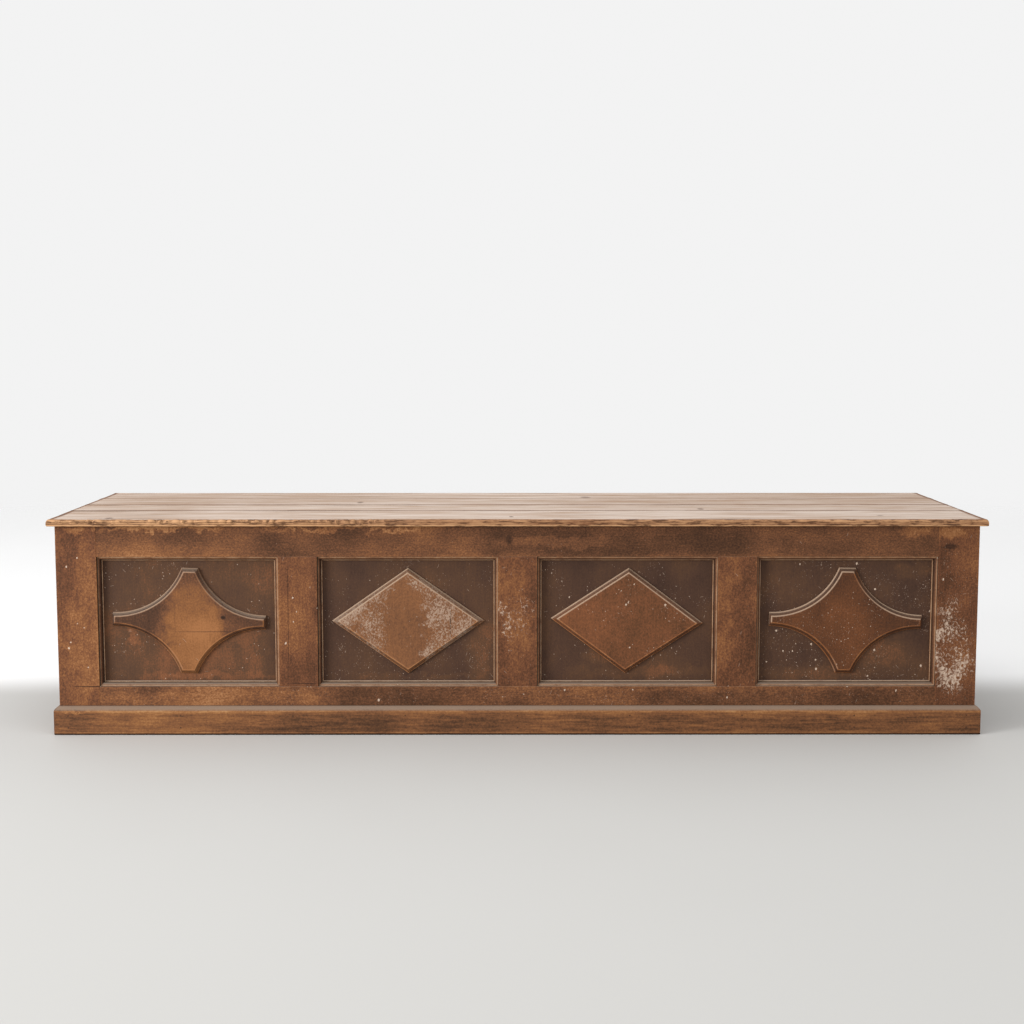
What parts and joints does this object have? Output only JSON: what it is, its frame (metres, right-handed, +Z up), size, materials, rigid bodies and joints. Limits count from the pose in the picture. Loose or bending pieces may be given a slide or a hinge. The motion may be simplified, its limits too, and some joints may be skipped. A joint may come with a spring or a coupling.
{
  "type": "communion table",
  "caption": "Long low communion table: panelled front with raised star and lozenge bosses, moulded plinth, planked top and open shelved back.",
  "frame": {"origin": "centre of the table's footprint, on the floor", "axes": "+X along the table, to the right as the panelled front is faced; +Y from the panelled front to the open back; +Z up"},
  "size_m": [3, 0.9, 0.7],
  "materials": {
    "stained_frame": "old reddish-brown stain and varnish on softwood, worn, scratched and speckled with paint",
    "stained_panel": "dark brown stained softwood board, dull, finely scratched and speckled with paint",
    "stained_moulding": "dark stained softwood moulding, arrises worn to pale wood, dust on upward faces",
    "stained_boss": "brown stained softwood, faces worn to orange wood or covered with flaking pale paint",
    "stained_plinth": "brown stained softwood with streaky grain, grey dust on the rounded upper edge",
    "scrubbed_top": "bare scrubbed softwood, bleached pinkish grey, edges brown and chipped",
    "bare_pine": "unfinished sawn and planed pine, darkened with age",
    "iron": "plain iron, dark with age and a little rust"
  },
  "bodies": {
    "root": {"top_board_1": "scrubbed_top", "top_board_2": "scrubbed_top", "top_board_3": "scrubbed_top", "top_board_4": "scrubbed_top", "top_bearer_1": "bare_pine", "top_bearer_2": "bare_pine", "top_bearer_3": "bare_pine", "top_bearer_4": "bare_pine", "front_top_rail": "stained_frame", "front_bottom_rail": "stained_frame", "front_stile_left": "stained_frame", "front_stile_right": "stained_frame", "front_muntin_1": "stained_frame", "front_muntin_2": "stained_frame", "front_muntin_3": "stained_frame", "front_panel_1": "stained_panel", "front_panel_2": "stained_panel", "front_panel_3": "stained_panel", "front_panel_4": "stained_panel", "front_moulding_1": "stained_moulding", "front_moulding_2": "stained_moulding", "front_moulding_3": "stained_moulding", "front_moulding_4": "stained_moulding", "boss_star_left": "stained_boss", "boss_lozenge_left": "stained_boss", "boss_lozenge_right": "stained_boss", "boss_star_right": "stained_boss", "end_left_front_stile": "stained_frame", "end_left_back_stile": "stained_frame", "end_left_top_rail": "stained_frame", "end_left_bottom_rail": "stained_frame", "end_left_panel": "stained_panel", "end_left_moulding": "stained_moulding", "end_right_front_stile": "stained_frame", "end_right_back_stile": "stained_frame", "end_right_top_rail": "stained_frame", "end_right_bottom_rail": "stained_frame", "end_right_panel": "stained_panel", "end_right_moulding": "stained_moulding", "plinth_front": "stained_plinth", "plinth_left": "stained_plinth", "plinth_right": "stained_plinth", "back_top_rail": "bare_pine", "back_bottom_rail": "bare_pine", "partition_1": "bare_pine", "partition_2": "bare_pine", "partition_3": "bare_pine", "shelf_1": "bare_pine", "shelf_2": "bare_pine", "shelf_3": "bare_pine", "shelf_4": "bare_pine", "floor_boards": "bare_pine", "floor_bearers": "bare_pine", "shelf_cleats": "bare_pine", "glue_blocks": "bare_pine", "boss_screws": "iron", "top_screws": "iron", "moulding_brads": "iron", "plinth_nails": "stained_plinth", "back_rail_pegs": "bare_pine"}
  },
  "joints": []
}
